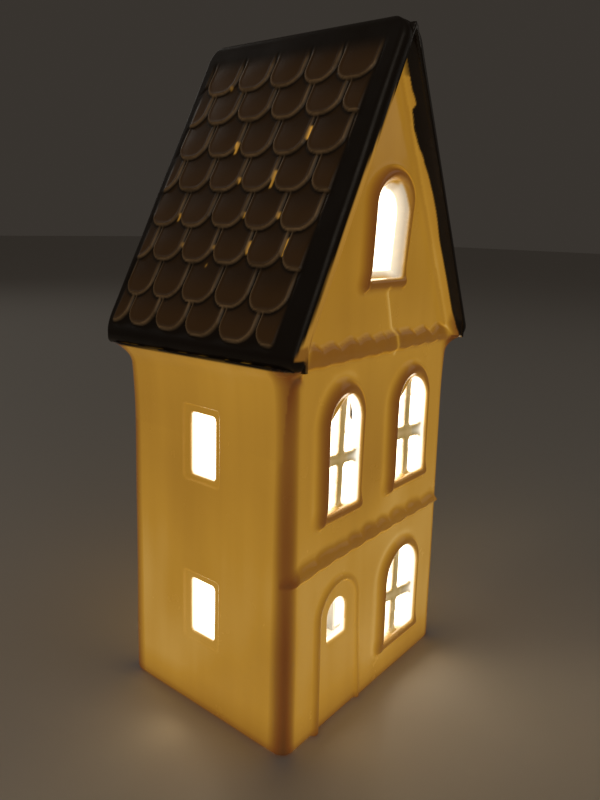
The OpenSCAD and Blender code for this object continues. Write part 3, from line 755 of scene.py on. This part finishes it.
def paint_walls(ob):
    """What the porcelain's material needs to know at each point.

    thick is the depth to the hollow, which sets how much light the glow lets through and is changed in
    places to paint light and shade, reveal an opening's edge, inner the hollow's side, painted the dark
    glaze, band a moulded band, whose glow gets painted shade, bar a glazing bar, cove the hollow under the
    verge, where the glow gets a painted highlight, seam the seam, which gets a painted highlight too, and
    tone a factor on the glow, which paints shade and a highlight.
    """
    x, y, z = points_of(ob).T
    thick = cavity(x, y, z)
    w = under(x, z)
    face = y + HALF_D + lean(z)
    hood = step(np.abs(y) - HALF_D - 0.4, -0.3, 0.6) * step(z, 140.5, 142.5) * step(15 - w, 0, 4)
    flared = step(np.abs(x) - HALF_W, -0.5, 0.3) * step(z, 108, 112)
    middle = step(46.5 - np.abs(x), 0, 1)
    door_x, door_half, door_top = DOOR_PART
    in_door = step(door_half - np.abs(x - door_x), 0, 1) * step(door_top - z, 0, 1)
    at_front, at_skin = y < FRONT_WALL_Y, y < FRONT_SKIN_Y
    sunk = step(face, 0.5 + 0.9 * in_door, 1.0 + 1.2 * in_door) * middle * at_front * step(z, 3, 6)
    in_side = step(HALF_W + lean(z) - np.abs(x), 1.3, 2.2) * (np.abs(y) < 12) * (z < 125)
    in_notch = step(HALF_D + lean(z) - y, 0.8, 1.6) * (y > BACK_WALL_Y) * (np.abs(x) < 12) * (z < 20)
    outside, inner = step(thick, 0.2, 0.6), step(0.9 - thick, 0, 0.8)
    band = np.zeros_like(x)
    for (low, drop, tall, _, lobes), soft, more in zip(COURSES, (0.6, 1.9), (0.0, 1.4)):
        # in the hood the band is carried forward, as it looks from the front left
        proud = np.maximum(-face, 0) * (hood > 0.3)
        below, top = course_edges(x + 1.4 * proud, z - 0.28 * proud, low, drop, tall, lobes)
        band = np.maximum(band, step(-below, -0.3, 0.3) * step(more - top, -soft, soft))
    band = band * at_skin * step(z, 60, 61)
    attribute(ob, "band", band)
    # lit marks the right hand jambs, which face the camera's side and are painted brightest, and a painted
    # highlight runs as a paler line round the left of the rolls
    lit, roll_highlight = np.zeros_like(x), np.zeros_like(x)
    for name in HOLES:
        c, half, foot, spring, crown = whole_opening(name)
        mid = c + HOLES[name][2] * (z - foot)
        opening = arch_area(x, z, mid, half, foot, spring, crown)
        # sills and the slanted top left corners stay the wall's colour
        here = opening < 1.5
        sunk = np.where(here & (face < 2.0), sunk * step(z - foot, 0.3, 1.1), sunk)
        if name in SLANTS:
            sunk = np.where(here & (x < mid) & (beyond_slant(name, x, z) > -0.5), 0, sunk)
        lit = np.maximum(lit, step(0.7 - opening, 0, 0.5) * step(x - mid, 2, 5))
        if name != "gable":
            line = arch_line(x, z, c, half + ROLL_OUT, foot, spring, crown + ROLL_UP)
            outside_roll = arch_area(x, z, c, half + ROLL_OUT, -9, spring, crown + ROLL_UP) > 0
            outer = np.exp(-((line - 4.3) / 1.2) ** 2) * outside_roll
            roll_highlight = np.maximum(roll_highlight, outer * step(c - x + 0.8 * np.maximum(z - spring, 0), 0, 8))
    lit = lit * at_front
    # the lit jambs' flanks in front of the face take the reveal's light colour: a painted highlight
    sunk = np.maximum(sunk, step(face, -0.9, -0.3) * lit * middle)
    # the sunk door and the side windows' frames glow like the whole wall, though they are thinner
    on_door = (in_door > 0.3) & (face < 1.4) & at_front
    thick = np.where(on_door, np.maximum(thick, WALL_T), thick)
    for m, *_ in SIDE_WINDOWS:
        on_frame = ((np.abs(y - SIDE_Y) < FRAME_W + 0.8) & (np.abs(z - m) < FRAME_H + 0.8)
                    & (HALF_W + lean(z) - np.abs(x) < 1.4))
        thick = np.where(on_frame, np.maximum(thick, 3.4), thick)
    # the hood, the flare and the bands glow as the plain wall does, whatever their thickness, and the lit
    # jambs are made thinner still: a painted highlight
    thick = np.where((hood + flared > 0.5) | (band > 0.5), WALL_T, thick) - 1.3 * lit
    attribute(ob, "thick", thick)
    # tone: painted shade dims the glow a little between the upper windows, and a painted highlight lifts it
    # round the left of the rolls
    tone = 1 - 0.13 * np.exp(-((x + 1) / 8.0) ** 2 - ((z - 106) / 24.0) ** 2) + 0.14 * roll_highlight
    attribute(ob, "tone", np.where(at_skin, tone, 1.0))
    bar = np.zeros_like(x)
    for name in BARS:
        area = arch_area(x, z, *whole_opening(name))
        bar = np.maximum(bar, step(bars_of(name, x, z), -0.75, -0.35) * step(1.4 - area, -0.4, 0.4))
    attribute(ob, "bar", bar * step(face, 0.4, 0.9) * step(-face, -2.0, -1.5) * at_front)
    attribute(ob, "reveal", np.clip(sunk + in_side + in_notch, 0, 1) * outside)
    attribute(ob, "inner", inner)
    attribute(ob, "painted", painted(x, y, z))
    attribute(ob, "cove", hood * np.exp(-((w - 9.5) / 1.8) ** 2))
    attribute(ob, "seam", np.exp(-(seam(x, z) / 0.75) ** 2) * at_skin)


def paint_roof(ob):
    """What the roof's material needs: rim, face and leak from the shingle maps, and as on the walls."""
    x, y, z = points_of(ob).T
    s = SN * (z - START_Z) - CS * (np.abs(x) - START_X)
    on = step(3.0 - under(x, z), 0, 1)
    attribute(ob, "rim", read_map(shingle_rim, s, y) * on)
    # the upper band, carried onto the roof's bare lip as it looks from the front left, so that its glow
    # gets painted shade
    below, top = course_edges(x + 8.4, z - 1.7, *COURSES[0][:3], COURSES[0][4])
    attribute(ob, "band", step(-below, -0.3, 0.3) * step(-top, -0.6, 0.6) * (y < 0))
    attribute(ob, "face", read_map(shingle_face, s, y) * on)
    attribute(ob, "leak", read_map(shingle_leak, s, y) * on * (x < 0))
    nose = step(np.abs(x) - HALF_W, -0.2, 0.2) * step(eave(y) + 4.6 - z, 0, 0.8)
    attribute(ob, "painted", np.maximum(painted(x, y, z), nose))
    inside = (under(x, z) > ROOF_T - 0.3) & (np.abs(x) < HALF_W + 0.1) & (np.abs(y) < 39)
    attribute(ob, "inner", inside)


paint_walls(walls_ob)
paint_roof(roof_ob)


# ---------------------------------------------------------------- materials
class Nodes:
    """A short way to write a Principled material's nodes."""

    def __init__(self, name, base, rough, **extra):
        self.mat = bpy.data.materials.new(name)
        self.mat.use_nodes = True
        self.tree = self.mat.node_tree
        self.tree.nodes.clear()
        out = self.add("OutputMaterial")
        self.bsdf = self.add("BsdfPrincipled")
        self.join(self.bsdf.outputs[0], out.inputs[0])
        self.put(self.bsdf, "Base Color", base)
        self.put(self.bsdf, "Roughness", rough)
        for k, v in extra.items():
            self.put(self.bsdf, k.replace("_", " "), v)
        self.spot = None

    def add(self, kind, **props):
        n = self.tree.nodes.new("ShaderNode" + kind)
        for k, v in props.items():
            setattr(n, k, v)
        return n

    def join(self, a, b):
        self.tree.links.new(a, b)

    def put(self, node, key, v):
        """Links v to an input where it is another node's output, or else sets the input to it."""
        s = node.inputs[key]
        if isinstance(v, bpy.types.NodeSocket):
            self.join(v, s)
        elif isinstance(v, tuple) and len(v) == 3 and s.type == "RGBA":
            s.default_value = (*v, 1)
        else:
            s.default_value = v

    def math(self, op, a, b=0.0):
        n = self.add("Math", operation=op)
        self.put(n, 0, a)
        self.put(n, 1, b)
        return n.outputs[0]

    def remap(self, v, lo, hi, a=0.0, b=1.0):
        n = self.add("MapRange")
        for k, q in zip(("Value", "From Min", "From Max", "To Min", "To Max"), (v, lo, hi, a, b)):
            self.put(n, k, q)
        return n.outputs[0]

    def mix(self, f, a, b):
        n = self.add("Mix", data_type="RGBA")
        self.put(n, 0, f)
        self.put(n, 6, a)
        self.put(n, 7, b)
        return n.outputs[2]

    def ramp(self, v, *stops):
        n = self.add("ValToRGB")
        els = n.color_ramp.elements
        while len(els) < len(stops):
            els.new(0.5)
        for e, (at, c) in zip(els, stops):
            e.position = at
            e.color = (*c, 1)
        self.put(n, 0, v)
        return n.outputs[0]

    def attr(self, name):
        return self.add("Attribute", attribute_name=name).outputs["Fac"]

    def place(self):
        if self.spot is None:
            self.spot = self.add("TexCoord").outputs["Object"]
        return self.spot

    def noise(self, scale, detail=3.0, rough=0.5, stretch=None):
        n = self.add("TexNoise")
        at = self.place()
        if stretch:
            m = self.add("Mapping")
            self.join(at, m.inputs["Vector"])
            m.inputs["Scale"].default_value = stretch
            at = m.outputs[0]
        self.join(at, n.inputs["Vector"])
        self.put(n, "Scale", scale)
        self.put(n, "Detail", detail)
        self.put(n, "Roughness", rough)
        return n.outputs["Fac"]

    def bump(self, height, strength, distance):
        n = self.add("Bump")
        self.put(n, "Strength", strength)
        self.put(n, "Distance", distance)
        self.put(n, "Height", height)
        self.join(n.outputs[0], self.bsdf.inputs["Normal"])


# the lit hollow's colour and how much more it gives off than the skin, and bare porcelain's colour
INSIDE_LIGHT, INSIDE_GAIN = (1.0, 0.90, 0.70), 2.2
BARE = (0.32, 0.23, 0.12)


def glow_colour(m, level):
    """The colour of light through the porcelain: deep amber where it is weak, cream where it is strong."""
    return m.ramp(m.math("MULTIPLY", level, 0.5),
                  (0.0, (0.008, 0.0015, 0.0)), (0.15, (0.105, 0.024, 0.0005)),
                  (0.25, (0.165, 0.060, 0.0035)), (0.35, (0.245, 0.108, 0.0065)),
                  (0.5, (0.365, 0.180, 0.016)), (0.62, (0.455, 0.260, 0.055)),
                  (0.75, (0.54, 0.355, 0.12)), (1.0, (0.76, 0.56, 0.28)))


def porcelain_material():
    m = Nodes("porcelain_glow", (0.62, 0.54, 0.40), 0.2, Coat_Weight=0.5, Coat_Roughness=0.07)
    # the porcelain's glow is painted light: emission that stands in for the bulb's light coming through the
    # walls, with the hollow's side painted lit
    dark, thick, inside = m.attr("painted"), m.attr("thick"), m.attr("inner")
    pos = m.add("SeparateXYZ")
    m.join(m.place(), pos.inputs[0])
    x, y, z = pos.outputs
    # light left after the wall's thickness, then how strongly the bulb reaches each height
    through = m.math("POWER", 2.718, m.math("MULTIPLY", m.math("SUBTRACT", thick, WALL_T), -0.36))
    reach = m.ramp(m.math("DIVIDE", z, 0.25),
                   (0.0, (0.35,) * 3), (0.016, (0.78,) * 3), (0.032, (0.90,) * 3), (0.06, (1.02,) * 3),
                   (0.12, (1.08,) * 3), (0.26, (1.06,) * 3), (0.39, (0.93,) * 3), (0.48, (0.93,) * 3),
                   (0.55, (1.0,) * 3), (0.62, (0.93,) * 3), (0.95, (0.88,) * 3))
    # the corners, furthest from the bulb and thickest, are darker; clouds and streaks are the slip's
    corner = m.math("MULTIPLY",
                    m.remap(m.math("ABSOLUTE", x), 0.0470, 0.0515, 0, 1),
                    m.remap(m.math("ABSOLUTE", y), 0.0340, 0.0405, 0, 1))
    shade = m.math("SUBTRACT", 1.0, m.math("MULTIPLY", m.math("POWER", corner, 0.8), 0.74))
    cloud = m.remap(m.noise(16, 2.0, 0.5, (1.0, 1.0, 0.4)), 0.3, 0.7, 0.90, 1.10)
    streak = m.remap(m.noise(120, 2.0, 0.5, (1.0, 1.0, 0.06)), 0.3, 0.7, 0.965, 1.035)
    # slip holds the corners' painted shade as well as the slip's clouds and streaks
    slip = m.math("MULTIPLY", shade, m.math("MULTIPLY", cloud, streak))
    glow = m.math("MULTIPLY", m.math("MULTIPLY", through, reach), slip)
    # the moulded bands glow less: painted shade for the light their thickness holds back
    glow = m.math("MULTIPLY", glow, m.math("SUBTRACT", 1.0, m.math("MULTIPLY", m.attr("band"), 0.44)))
    # tone: painted shade and a painted highlight on the glow
    glow = m.math("MULTIPLY", glow, m.attr("tone"))
    # the seam gets a painted highlight along its line
    glow = m.math("ADD", glow, m.math("MULTIPLY", m.attr("seam"), 0.5))
    # the hollow under the verge gets a painted highlight
    glow = m.math("ADD", glow, m.math("MULTIPLY", m.attr("cove"), 0.35))
    colour = glow_colour(m, glow)
    # an opening's edge: olive at the face, then the light inside, which is weaker in the gable
    depth = m.math("DIVIDE", thick, 4.0)
    low = m.ramp(depth, (0.0, (1.25, 1.18, 1.02)), (0.62, (1.1, 1.03, 0.88)),
                 (0.74, (0.85, 0.76, 0.58)), (0.84, (0.30, 0.20, 0.08)))
    high = m.ramp(depth, (0.0, (0.8, 0.72, 0.55)), (0.4, (0.52, 0.44, 0.33)), (0.88, (0.36, 0.27, 0.15)))
    reveal = m.mix(m.remap(z, 0.155, 0.157), low, high)
    reveal = m.mix(m.attr("bar"), reveal, (0.25, 0.175, 0.055))
    colour = m.mix(m.attr("reveal"), colour, reveal)
    colour = m.mix(inside, colour, INSIDE_LIGHT)
    power = m.math("ADD", m.math("MULTIPLY", inside, INSIDE_GAIN), 1.0)
    power = m.math("MULTIPLY", power, m.math("SUBTRACT", 1.0, m.math("MULTIPLY", dark, 0.995)))
    m.put(m.bsdf, "Emission Color", colour)
    m.put(m.bsdf, "Emission Strength", power)
    tint = m.mix(m.noise(40, 4.0), BARE, (0.26, 0.18, 0.09))
    glaze = m.mix(m.noise(55, 4.0), (0.010, 0.008, 0.009), (0.022, 0.014, 0.011))
    m.put(m.bsdf, "Base Color", m.mix(dark, tint, glaze))
    m.put(m.bsdf, "Roughness", m.remap(m.noise(90, 3.0), 0.3, 0.7, 0.16, 0.28))
    m.bump(m.noise(160, 3.0), 0.12, 0.0004)
    return m.mat


def roof_material():
    m = Nodes("roof_glaze", (0.012, 0.010, 0.010), 0.4,
              Coat_Weight=0.2, Coat_Roughness=0.2, Specular_IOR_Level=0.3)
    dark, rim, leak = m.attr("painted"), m.attr("rim"), m.attr("leak")
    grain = m.noise(150, 4.0)
    patch = m.noise(28, 3.0)
    glaze = m.mix(patch, (0.010, 0.008, 0.007), (0.024, 0.014, 0.009))
    # the rims' glaze runs thin: it is paler in colour, and their glow is painted light
    rim_glaze_and_glow = m.math("MULTIPLY", rim, m.remap(grain, 0.25, 0.65, 0.45, 1.0))
    glaze = m.mix(rim_glaze_and_glow, glaze, (0.150, 0.085, 0.045))
    m.put(m.bsdf, "Base Color", m.mix(dark, BARE, glaze))
    # the bare lip's glow, with painted shade where the band lies
    bare = m.mix(m.remap(patch, 0.3, 0.7), (0.30, 0.14, 0.014), (0.37, 0.18, 0.022))
    bare = m.mix(m.attr("band"), bare, (0.17, 0.065, 0.004))
    # the dark glaze lets a trace of brown light out, most at the rims and in a few thin grooves
    trace = m.mix(m.attr("face"), (0.0012, 0.0007, 0.0003), (0.0190, 0.0080, 0.0018))
    trace = m.mix(rim_glaze_and_glow, trace, (0.072, 0.042, 0.018))
    trace = m.mix(leak, trace, (0.62, 0.30, 0.04))
    colour = m.mix(dark, bare, trace)
    inside = m.attr("inner")
    m.put(m.bsdf, "Emission Color", m.mix(inside, colour, INSIDE_LIGHT))
    m.put(m.bsdf, "Emission Strength", m.math("ADD", m.math("MULTIPLY", inside, INSIDE_GAIN), 1.0))
    m.put(m.bsdf, "Roughness", m.remap(grain, 0.3, 0.7, 0.34, 0.52))
    m.bump(grain, 0.12, 0.0004)
    return m.mat


def hardware(name, light, dark, rough, scale, bump, **extra):
    """A finish that varies a little in colour, roughness and height."""
    m = Nodes(name, light, rough, **extra)
    tone, grain = m.noise(scale, 4.0), m.noise(scale * 4, 3.0)
    m.put(m.bsdf, "Base Color", m.mix(m.remap(tone, 0.3, 0.7), light, dark))
    m.put(m.bsdf, "Roughness", m.remap(grain, 0.3, 0.7, rough * 0.75, min(rough * 1.3, 1.0)))
    m.bump(grain, bump, 0.0003)
    return m


def lamp_glow(m, colour, power):
    """Makes a finish give off light, a little unevenly."""
    weaker = tuple(0.9 * c for c in colour)
    m.put(m.bsdf, "Emission Color", m.mix(m.remap(m.noise(60, 2.0), 0.3, 0.7), colour, weaker))
    m.put(m.bsdf, "Emission Strength", power)


METAL = {"Metallic": 1.0}
# slot: the material's name, its two colours, roughness, grain, bump and other inputs
FINISHES = {
    "base_paint": ("powder_coat", (0.72, 0.71, 0.68), (0.62, 0.61, 0.58), 0.5, 90, 0.35, {}),
    "rubber": ("rubber", (0.045, 0.045, 0.045), (0.025, 0.025, 0.026), 0.8, 120, 0.4, {}),
    "zinc_steel": ("zinc_plate", (0.60, 0.61, 0.62), (0.46, 0.47, 0.50), 0.32, 70, 0.15, METAL),
    "brass": ("turned_brass", (0.80, 0.58, 0.26), (0.66, 0.45, 0.18), 0.28, 80, 0.15, METAL),
    "holder_plastic": ("white_thermoplastic", (0.80, 0.80, 0.77), (0.72, 0.72, 0.68), 0.4, 60, 0.12, {}),
    "block_ceramic": ("steatite", (0.78, 0.74, 0.66), (0.68, 0.63, 0.55), 0.6, 110, 0.3, {}),
    "nickel": ("nickel_plate", (0.66, 0.63, 0.58), (0.52, 0.50, 0.46), 0.26, 90, 0.12, METAL),
    "black_glass": ("vitrite", (0.012, 0.012, 0.014), (0.03, 0.028, 0.03), 0.18, 60, 0.1,
                    {"Coat_Weight": 0.5}),
    "solder": ("solder", (0.52, 0.52, 0.50), (0.36, 0.36, 0.35), 0.42, 150, 0.4, METAL),
    "bulb_glass": ("bulb_glass", (0.95, 0.93, 0.88), (0.88, 0.84, 0.78), 0.06, 30, 0.05,
                   {"Alpha": 0.22, "Coat_Weight": 0.6}),
    "stem_glass": ("stem_glass", (0.90, 0.92, 0.90), (0.80, 0.83, 0.82), 0.08, 60, 0.05, {"Alpha": 0.5}),
    "phosphor": ("phosphor", (0.95, 0.72, 0.22), (0.85, 0.58, 0.14), 0.6, 200, 0.3, {}),
}
# the light that some of them give off: colour and strength; the holder's is painted light from the bulb,
# and the glass's glow stands in for the filaments' light in it
GLOWS = {
    "holder_plastic": ((1.0, 0.92, 0.80), 1.0),
    "bulb_glass": ((1.0, 0.88, 0.66), 1.2),
    "stem_glass": ((1.0, 0.88, 0.66), 0.8),
    "phosphor": ((1.0, 0.82, 0.50), 6.0),
}
finished = {}
for slot, (*look, inputs) in FINISHES.items():
    finished[slot] = hardware(*look, **inputs)
    if slot in GLOWS:
        lamp_glow(finished[slot], *GLOWS[slot])
for part in frame["record"]["subparts"]:
    if part["material_slot"] in finished:
        mesh = NODE[part["node"]].data
        mesh.materials.clear()
        mesh.materials.append(finished[part["material_slot"]].mat)

walls_ob.data.materials.append(porcelain_material())
roof_ob.data.materials.append(roof_material())


# ---------------------------------------------------------------- stage, light, camera
def add_to_scene(name, data, place=(0, 0, 0)):
    ob = bpy.data.objects.new(name, data)
    ob.location = place
    bpy.context.scene.collection.objects.link(ob)
    return ob


# half the floor's side, in metres
FLOOR = 6
floor_mesh = bpy.data.meshes.new("floor")
floor_mesh.from_pydata([(-FLOOR, -FLOOR, 0), (FLOOR, -FLOOR, 0), (FLOOR, FLOOR, 0), (-FLOOR, FLOOR, 0)],
                       [], [(0, 1, 2, 3)])
floor_mesh.materials.append(Nodes("pale_floor", (0.62, 0.60, 0.57), 0.45).mat)
floor = add_to_scene("floor", floor_mesh)

world = bpy.data.worlds.new("studio")
bpy.context.scene.world = world
world.use_nodes = True
background = world.node_tree.nodes["Background"]
background.inputs["Color"].default_value = (1.0, 0.86, 0.72, 1)
background.inputs["Strength"].default_value = 0.04

# soft lights: name, place, aim, size, watts, colour
for name, place, aim, size, watts, colour in (
        ("key", (-0.9, -0.5, 1.3), (0, 0, 0.1), 0.9, 1.5, (1.0, 0.88, 0.72)),
        ("fill", (1.2, -0.9, 0.8), (0, 0, 0.1), 1.0, 0.5, (1.0, 0.92, 0.82)),
        ("rim", (0.2, 1.3, 1.0), (0, 0, 0.15), 0.8, 0.8, (1.0, 0.94, 0.86))):
    soft_light = bpy.data.lights.new(name, "AREA")
    soft_light.shape, soft_light.size = "DISK", size
    soft_light.energy, soft_light.color = watts, colour
    toward = Vector(aim) - Vector(place)
    add_to_scene(name, soft_light, place).rotation_euler = toward.to_track_quat("-Z", "Y").to_euler()

bulb_light = bpy.data.lights.new("bulb_light", "POINT")
bulb_light.energy, bulb_light.color, bulb_light.shadow_soft_size = 0.25, (1.0, 0.72, 0.38), 0.02
add_to_scene("bulb_light", bulb_light, (0, 0, 0.14))

# the camera as solved from the house's edges in the photo: its angles, its place in metres, and its
# focal length in pixels of a frame 800 high
AZ, EL, ROLL = math.radians(-51.341), math.radians(14.373), math.radians(1.583)
CAM_AT = (-0.21180, -0.17186, 0.18502)
FOCAL_PX, FRAME_PX, SENSOR = 690.86, 800, 36
back_dir = Vector((math.sin(AZ) * math.cos(EL), -math.cos(AZ) * math.cos(EL), math.sin(EL)))
right_dir = (-back_dir).cross(Vector((0, 0, 1))).normalized()
up_dir = right_dir.cross(-back_dir)
cam_x = math.cos(ROLL) * right_dir + math.sin(ROLL) * up_dir
cam_y = -math.sin(ROLL) * right_dir + math.cos(ROLL) * up_dir
cam_data = bpy.data.cameras.new("camera")
cam_data.sensor_fit, cam_data.sensor_width = "AUTO", SENSOR
cam_data.lens = SENSOR * FOCAL_PX / FRAME_PX
cam_data.clip_start, cam_data.clip_end = 0.01, 50
cam = add_to_scene("camera", cam_data)
cam.matrix_world = Matrix.Translation(CAM_AT) @ Matrix((cam_x, cam_y, back_dir)).transposed().to_4x4()
bpy.context.scene.camera = cam
bpy.context.scene.view_settings.view_transform = "Standard"
